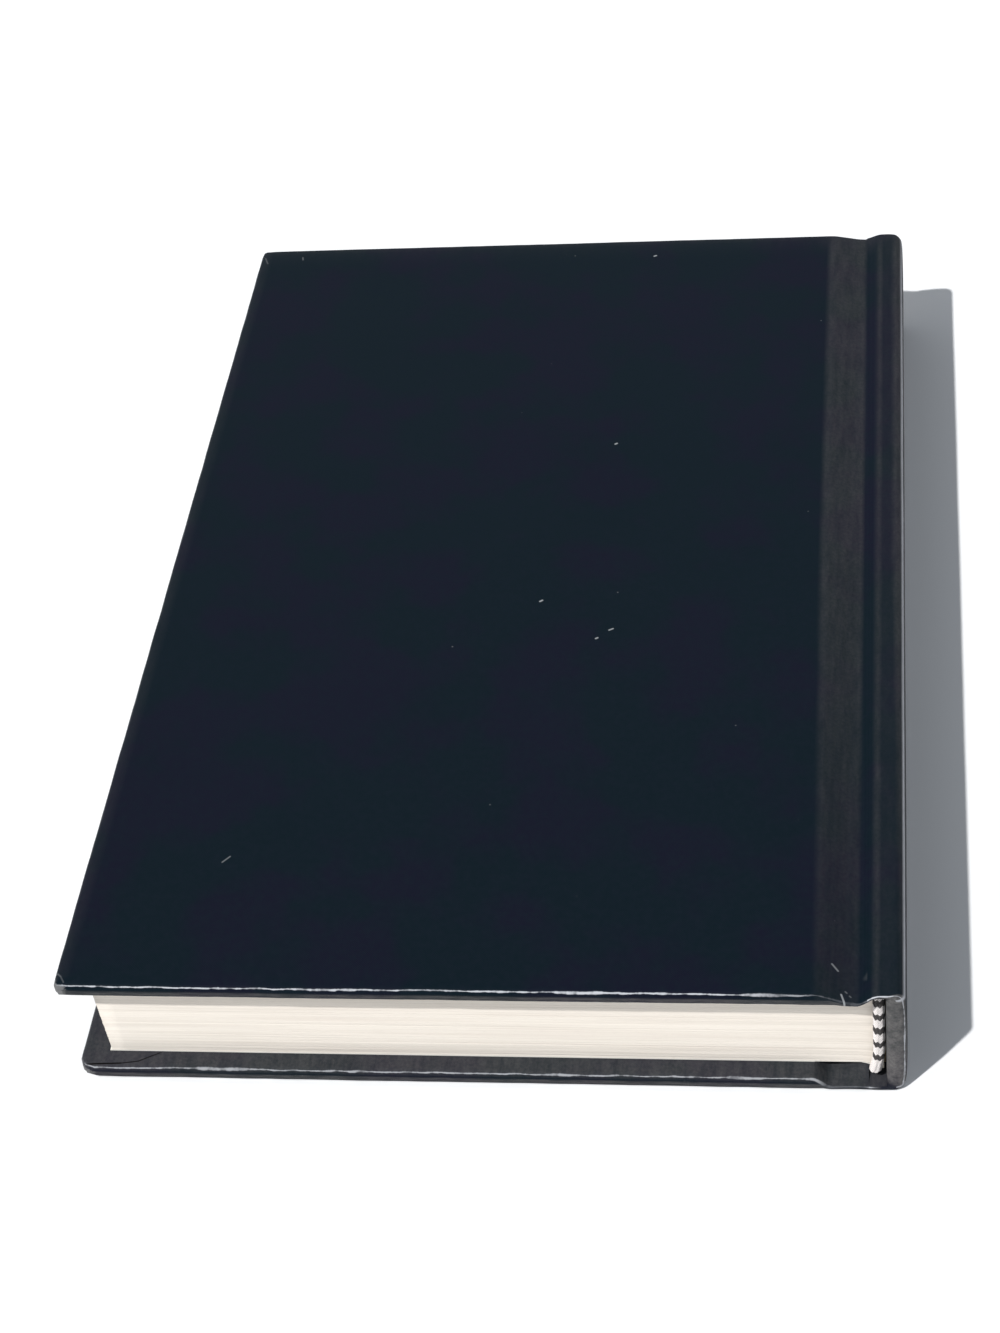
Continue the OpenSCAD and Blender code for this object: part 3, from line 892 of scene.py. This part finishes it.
def block_piece(edge_material, page_material):
    """The block of leaves: ruled first and last pages, and cut edges with a line at each leaf."""
    rows = 150
    xs = stations(X_FORE, X_BACK - SHOULDER_W, 3.2) + stations(X_BACK - SHOULDER_W + 0.6, X_BACK, 0.6)
    ys = stations(-HALF_PAGE, HALF_PAGE, 3.4)
    loop = [(x, ys[0], 0, -1) for x in xs] + [(xs[-1], y, 1, 0) for y in ys[1:]]
    loop += [(x, ys[-1], 0, 1) for x in reversed(xs[:-1])] + [(xs[0], y, -1, 0) for y in reversed(ys[1:-1])]
    loop.append(loop[0])
    base, tall = CASE_T - Z_LEAF, CASE_T - 2 * Z_LEAF
    section = tall / SECTIONS

    def jut(share, along):
        """How far a leaf's edge stands back from the cut face, and how strongly the gap there is painted
        dark, a painted shade.
        """
        z = tall * share
        place = abs((z / section) % 1 - 0.5)
        line = clamp((place - 0.46) / 0.04, 0, 1)
        fine = 0.5 + 0.5 * noise.noise(Vector((z * 4.1, along / 60, 3.0)))
        broad = 0.5 + 0.5 * noise.noise(Vector((z * 0.9, along / 45, 9.0)))
        return 0.05 * line + 0.06 * fine + 0.08 * broad, line * clamp(0.2 + 1.2 * broad, 0, 1)

    def leaf_z(x, share):
        half = tall / 2 + swell(x)
        return Z_LEAF + tall / 2 + half * (2 * share - 1)

    def place(column, row):
        x, y, out_x, out_y = loop[column]
        share = row / (rows - 1)
        back, gap = jut(share, x + y)
        rim = row in (0, rows - 1)
        back = 0.0 if rim else back
        lean = FORE_LEAN * (0.5 - share) * clamp((xs[4] - x) / (xs[4] - xs[0]), 0, 1)
        z = leaf_z(x, share)
        if not rim and out_x <= 0:
            z += 0.10 * noise.noise(Vector((x / 18, y / 18, share * 3)))
        if out_x > 0:
            back, gap = 0.0, 0.0
        corner = column in (0, len(xs) - 1, len(xs) + len(ys) - 2, 2 * len(xs) + len(ys) - 3, len(loop) - 1)
        nx = -back if out_x < 0 or (corner and x < 0) else 0.0
        px = x + lean - nx
        py = y - math.copysign(back, y) if abs(out_y) or corner else y
        return (px, py, z), {"gap": gap}

    bm = bmesh.new()
    layers = new_layers(bm, ["gap"])
    mapped_grid(bm, len(loop), rows, place, layers)
    tidy(bm)
    for share in (0.0, 1.0):
        made = mapped_grid(bm, len(xs), len(ys), lambda c, r: (
            (xs[c] + FORE_LEAN * (0.5 - share) * clamp((xs[4] - xs[c]) / (xs[4] - xs[0]), 0, 1),
             ys[r], leaf_z(xs[c], share)), {"gap": 0.0}), layers)
        for face in {f for v in made for f in v.link_faces}:
            face.material_index = 1
    tidy(bm)
    outward(bm)
    obj = piece("page_block", bm, [edge_material, page_material], SPINE_BODY)
    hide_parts("text_block")
    sharp_between_materials(obj)
    return obj


def sharp_between_materials(obj):
    """Keeps the rim between the cut edges and the page face crisp."""
    mesh = obj.data
    sides = {}
    for polygon in mesh.polygons:
        for key in polygon.edge_keys:
            sides.setdefault(key, set()).add(polygon.material_index)
    for edge in mesh.edges:
        edge.use_edge_sharp = len(sides.get(tuple(sorted(edge.vertices)), ())) > 1


def sheet_piece(name, line, half, thickness, material, seed, side, step=6.0):
    """A thin sheet that follows a line of x and depth, with slightly uneven edges."""
    ys = stations(-half, half, step)

    def place(column, row):
        x, depth = line[column]
        y = ys[row]
        z = CASE_T - depth if side > 0 else depth
        if row in (0, len(ys) - 1):
            y -= math.copysign(0.06 * (1 + wave(x, y, seed, 20)), y)
        return (x, y, z), None

    bm = bmesh.new()
    mapped_grid(bm, len(line), len(ys), place)
    if side < 0:
        bmesh.ops.reverse_faces(bm, faces=bm.faces)
    thicken(bm, thickness)
    outward(bm)
    return piece(name, bm, [material])


def flyleaf_piece(label, side, material):
    """The free leaf of an endpaper, from a fold at the back of the block."""
    fore = 0.2 if side > 0 else FORE_LEAN / 2 + 0.15
    xs = stations(X_FORE + fore, X_BOARD - 4, 6) + stations(X_BOARD - 3, X_BACK - 0.1, 0.5)
    line = [(x, Z_LEAF - LEAF_T - swell(x) + 0.02) for x in xs]
    obj = sheet_piece(label + "_flyleaf_sheet", line, HALF_PAGE - 0.05, LEAF_T * 0.8, material, 5, side)
    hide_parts(label + "_flyleaf")
    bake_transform(obj)
    return obj


def lining_piece(label, side, material):
    """The gauze and endpaper glued under the cloth of a joint, which show as paper."""
    xs = stations(X_PASTE - 0.1, X_BACK - 0.1, 0.5)
    end_depth = Z_LEAF - LEAF_T - SHOULDER_H - 0.25
    line = [(x, mix(COVER_T + 0.02, end_depth, clamp((x - X_GROOVE) / (X_BACK - X_GROOVE), 0, 1)))
            for x in xs]
    obj = sheet_piece(label + "_joint_paper", line, HALF_PAGE - 0.02, 0.18, material, 6, side)
    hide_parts(label + "_joint_lining")
    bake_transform(obj)
    return obj


# The bands

BAND_PITCH = 3.58
BAND_DARK_AT = 6.73
DARK_SHARE = 0.44
BAND_END = 2.6
BAND_TOP = 23.4
BAND_OUT = 0.3
THREAD_R = 0.20
ZIGZAG = 0.52
TEETH = 7


def band_colour(z):
    """Dark stripes at an even pitch; the band ends in a long white one at the back cover."""
    share = ((z - BAND_DARK_AT) / BAND_PITCH + 0.5) % 1 - 0.5
    return "dark" if abs(share) < DARK_SHARE / 2 and z > BAND_DARK_AT - BAND_PITCH / 2 else "white"


def band_lean(z):
    """The foot of the band leans towards the pages."""
    return 0.8 * clamp((9 - z) / (9 - BAND_END), 0, 1) ** 2 - BAND_OUT


def band_core(label, material):
    """The cord inside the windings, which ends just short of theirs."""
    node = label + "_band_core"
    centre = (low(node) + high(node)) / 2
    radius = (high(node).x - low(node).x) / 2
    around, rows = 16, 30

    def place(column, row):
        turn = 2 * math.pi * (column % around) / around
        reach = radius * (0.0 if row in (0, rows) else 1.0)
        z = mix(BAND_END + 0.35, BAND_TOP - 0.35, clamp((row - 1) / (rows - 2), 0, 1))
        return (centre.x - band_lean(z) + reach * math.cos(turn), centre.y + reach * math.sin(turn), z), None

    bm = bmesh.new()
    mapped_grid(bm, around + 1, rows + 1, place)
    tidy(bm)
    outward(bm)
    obj = piece(label + "_band_cord", bm, [material], SPINE_BODY)
    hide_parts(node)


def band_pieces(label, dark, white):
    """Threads wound round the bead at one end of the block, in stripes with zigzag borders."""
    first = low(label + "_band_dark_thread")
    last = high(label + "_band_dark_thread")
    cx, cy = (first.x + last.x) / 2, (first.y + last.y) / 2
    radius = (last.x - first.x) / 2
    count = round((BAND_TOP - BAND_END) / (THREAD_R * 1.72))
    made = {"dark": bmesh.new(), "white": bmesh.new()}
    around, ring = 4 * TEETH, 7
    for i in range(count):
        z0 = mix(BAND_END + THREAD_R, BAND_TOP - THREAD_R, i / (count - 1))
        wobble = random.uniform(-0.03, 0.03)
        swing = random.uniform(0.9, 1.1) * ZIGZAG
        lean = band_lean(z0)

        def place(column, row, z0=z0, wobble=wobble, lean=lean, swing=swing):
            turn = 2 * math.pi * (column % around) / around
            twist = 2 * math.pi * (row % ring) / ring
            saw = abs(turn / (2 * math.pi) * TEETH % 1 * 2 - 1) - 0.5
            centre_z = clamp(z0 + swing * saw, BAND_END + THREAD_R, BAND_TOP - THREAD_R)
            reach = radius - THREAD_R + wobble + THREAD_R * math.cos(twist)
            return (cx - lean + reach * math.cos(turn), cy + reach * math.sin(turn),
                    centre_z + THREAD_R * 1.05 * math.sin(twist)), None

        mapped_grid(made[band_colour(z0)], around + 1, ring + 1, place)
    for colour, bm in made.items():
        tidy(bm)
        outward(bm)
        material = dark if colour == "dark" else white
        obj = piece(f"{label}_band_{colour}_windings", bm, [material], SPINE_BODY)
        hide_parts(f"{label}_band_{colour}_thread")


# Marks on the front cover: each a line from one place to another on its face, its width and strength
MARKS = [
    ((61.4, -104.0), (62.4, -105.2), 0.26, 0.30),
    ((63.0, -110.2), (63.6, -112.0), 0.24, 0.50),
    ((68.6, -109.5), (69.4, -109.1), 0.30, 0.45),
    ((18.1, 105.2), (18.5, 105.4), 0.30, 0.60),
    ((14.2, 37.1), (14.5, 37.3), 0.32, 0.55),
    ((2.9, -12.1), (3.3, -11.8), 0.30, 0.55),
    ((14.8, -23.0), (15.1, -22.8), 0.30, 0.5),
    ((17.2, -20.6), (17.9, -20.2), 0.26, 0.5),
    ((-48.6, -82.2), (-47.4, -80.8), 0.22, 0.25),
    ((63.7, -109.4), (63.9, -109.6), 0.24, 0.16),
    ((64.4, -110.2), (64.6, -110.4), 0.22, 0.14),
    ((67.8, -111.0), (68.0, -110.8), 0.24, 0.16),
    ((69.6, -109.1), (69.8, -109.0), 0.22, 0.22),
    ((67.3, -106.6), (68.3, -105.2), 0.90, 0.035),
    ((-73.6, -108.8), (-72.7, -109.6), 0.22, 0.14),
    ((-72.7, -109.6), (-71.9, -110.9), 0.20, 0.10),
    ((-72.9, 108.6), (-72.0, 106.4), 0.26, 0.10),
    ((-64.0, 108.5), (-63.8, 107.5), 0.24, 0.16),
]

# Folds of the turned-in cloth at a fore-edge corner of a cover's inner side, as the marks are given, each
# painted as a dark line of shadow
CORNER_FOLDS = [
    ((-72.4, -111.1), (-66.1, -110.8), 0.24, 1.0),
    ((-66.1, -110.8), (-63.0, -110.3), 0.18, 0.9),
    ((-63.0, -110.3), (-59.5, -108.4), 0.20, 0.85),
    ((-59.5, -108.4), (-57.5, -107.0), 0.16, 0.7),
]


def cover_corners(z, head, tail):
    """The two fore-edge corners of a cover whose rim is at z, with how strongly each is rubbed."""
    return [((X_EDGE, -HALF_H, z), 2.9, head), ((X_EDGE, HALF_H, z), 2.6, tail)]


front_cloth = book_cloth("front_book_cloth", MARKS, CASE_T - COVER_T / 2,
                         cover_corners(CASE_T - 1.2, 0.42, 0.25), (CASE_T - COVER_T, -1))
back_cloth = book_cloth("back_book_cloth", (), COVER_T / 2, cover_corners(1.2, 0.35, 0.3), (COVER_T, 1))
spine_cloth = book_cloth("book_cloth", long_edge=True)
white_paper, _, _ = paper("endpaper", (0.84, 0.81, 0.75), (0.79, 0.755, 0.69))
brown_paper, _, _ = paper("lining_paper", (0.50, 0.39, 0.24), (0.40, 0.30, 0.18), 1.2)
ruled = ruled_paper()
edges = page_edges()
board_grey = grey_board()
gauze_cloth = gauze()
tape = tape_cloth()
dark_thread = thread("dark_thread", (0.030, 0.024, 0.022), (0.008, 0.006, 0.006))
white_thread = thread("white_thread", (0.88, 0.84, 0.81), (0.60, 0.55, 0.53))

RADII = {"front": (1.3, 1.5), "back": (2.8, 1.8)}
SIDES = {"front": 1, "back": -1}

for label, side in SIDES.items():
    cloth = front_cloth if side > 0 else back_cloth
    cover_piece(label + "_book_cloth", side, RADII[label], cloth, 1 if side > 0 else 12)
    board_piece(label, side, RADII[label], board_grey)
    flyleaf_piece(label, side, white_paper)
    lining_piece(label, side, white_paper)
spine_piece(spine_cloth)
spine_card(board_grey)
block_piece(edges, ruled)
for label in ("head", "tail"):
    band_core(label, tape)
    band_pieces(label, dark_thread, white_thread)

KEPT = {
    "spine_mull": gauze_cloth, "spine_lining": brown_paper,
    "head_band_tape": tape, "tail_band_tape": tape,
    "front_mull_flap": gauze_cloth, "back_mull_flap": gauze_cloth,
    "front_pastedown": white_paper, "back_pastedown": white_paper,
}
for name, material in KEPT.items():
    mesh = bpy.data.objects[name].data
    mesh.materials.clear()
    mesh.materials.append(material)


# Camera, fitted to the photograph's corners
FRAME_W, FRAME_H = 1000, 1333
FOCAL_PX = 2728
ELEVATION = math.radians(42.58)
YAW = -0.2005
ROLL = 0.1418
CAMERA_AT = Vector((73.8, -409.3, 380.3))


def make_camera():
    data = bpy.data.cameras.new("camera")
    camera = bpy.data.objects.new("camera", data)
    bpy.context.scene.collection.objects.link(camera)
    data.sensor_width = 36
    data.lens = FOCAL_PX / FRAME_H * data.sensor_width
    data.clip_start = 0.01
    data.clip_end = 50
    ahead = Vector((math.sin(YAW) * math.cos(ELEVATION), math.cos(YAW) * math.cos(ELEVATION),
                    -math.sin(ELEVATION)))
    right = Vector((math.cos(YAW), -math.sin(YAW), 0))
    down = ahead.cross(right)
    level_right = right * math.cos(ROLL) + down * math.sin(ROLL)
    level_down = down * math.cos(ROLL) - right * math.sin(ROLL)
    matrix = camera.matrix_world.copy()
    for i in range(3):
        matrix[i][0] = level_right[i]
        matrix[i][1] = -level_down[i]
        matrix[i][2] = -ahead[i]
        matrix[i][3] = CAMERA_AT[i] * MM
    camera.matrix_world = matrix
    bpy.context.scene.camera = camera


def make_light():
    """One high light from the front left, as in the photograph, and an even pale surround."""
    data = bpy.data.lights.new("key", "SUN")
    data.energy = 3.35
    data.angle = math.radians(1.4)
    light = bpy.data.objects.new("key", data)
    toward = Vector((-0.49, -0.55, 1.0)).normalized()
    light.rotation_euler = toward.to_track_quat("Z", "Y").to_euler()
    bpy.context.scene.collection.objects.link(light)

    world = bpy.data.worlds.new("surround")
    bpy.context.scene.world = world
    world.use_nodes = True
    tree = world.node_tree
    tree.nodes.clear()
    seen = add(tree, "ShaderNodeBackground", {"Color": (1, 1, 1, 1), "Strength": 1.0})
    lit = add(tree, "ShaderNodeBackground", {"Color": (0.86, 0.92, 1.0, 1), "Strength": 0.36})
    path = add(tree, "ShaderNodeLightPath")
    direct = maths(tree, "MAXIMUM", path.outputs["Is Camera Ray"], path.outputs["Is Glossy Ray"])
    direct = maths(tree, "MAXIMUM", direct, path.outputs["Is Transmission Ray"])
    shown = add(tree, "ShaderNodeMixShader", {0: direct, 1: lit.outputs[0], 2: seen.outputs[0]})
    out = add(tree, "ShaderNodeOutputWorld")
    tree.links.new(shown.outputs[0], out.inputs[0])


def make_floor():
    """A pale floor just below the part."""
    bm = bmesh.new()
    bmesh.ops.create_grid(bm, x_segments=2, y_segments=2, size=4)
    bmesh.ops.translate(bm, verts=bm.verts, vec=(0, 0, -0.05 * MM))
    material, tree = new_material("floor")
    principled(tree).inputs["Base Color"].default_value = (0.92, 0.92, 0.92, 1)
    principled(tree).inputs["Roughness"].default_value = 1.0
    principled(tree).inputs["Specular IOR Level"].default_value = 0.0
    piece("floor", bm, [material])


make_camera()
make_light()
make_floor()
scene = bpy.context.scene
scene.view_settings.view_transform = "Standard"
